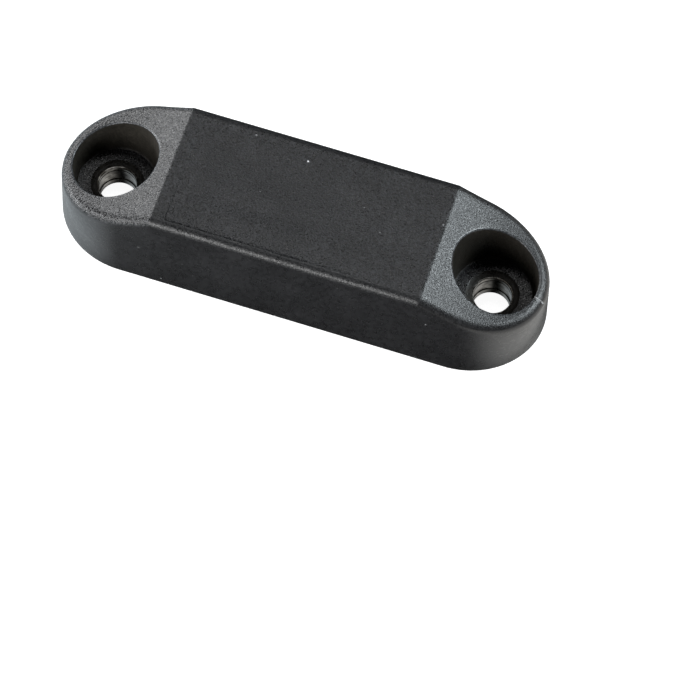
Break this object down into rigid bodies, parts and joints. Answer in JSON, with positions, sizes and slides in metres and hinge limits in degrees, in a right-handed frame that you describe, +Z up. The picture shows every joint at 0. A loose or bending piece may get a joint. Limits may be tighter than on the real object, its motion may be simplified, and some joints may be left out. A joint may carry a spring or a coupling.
{
  "type": "wheel chock",
  "caption": "Low screw-down wheel chock: a moulded black block with a flat top, sloped rounded ends and a deep screw pocket with a steel bush in each end.",
  "frame": {"origin": "middle of the flat base, on the surface that it is screwed to", "axes": "+X along the block from one fixing hole to the other, +Y across it, +Z up out of the surface"},
  "size_m": [0.1156, 0.0346, 0.025],
  "materials": {
    "moulding": "fine moulded grain, satin black",
    "bush_steel": "plated, lightly drawn"
  },
  "bodies": {
    "root": {"body": "moulding", "bush_left": "bush_steel", "bush_right": "bush_steel"}
  },
  "joints": []
}
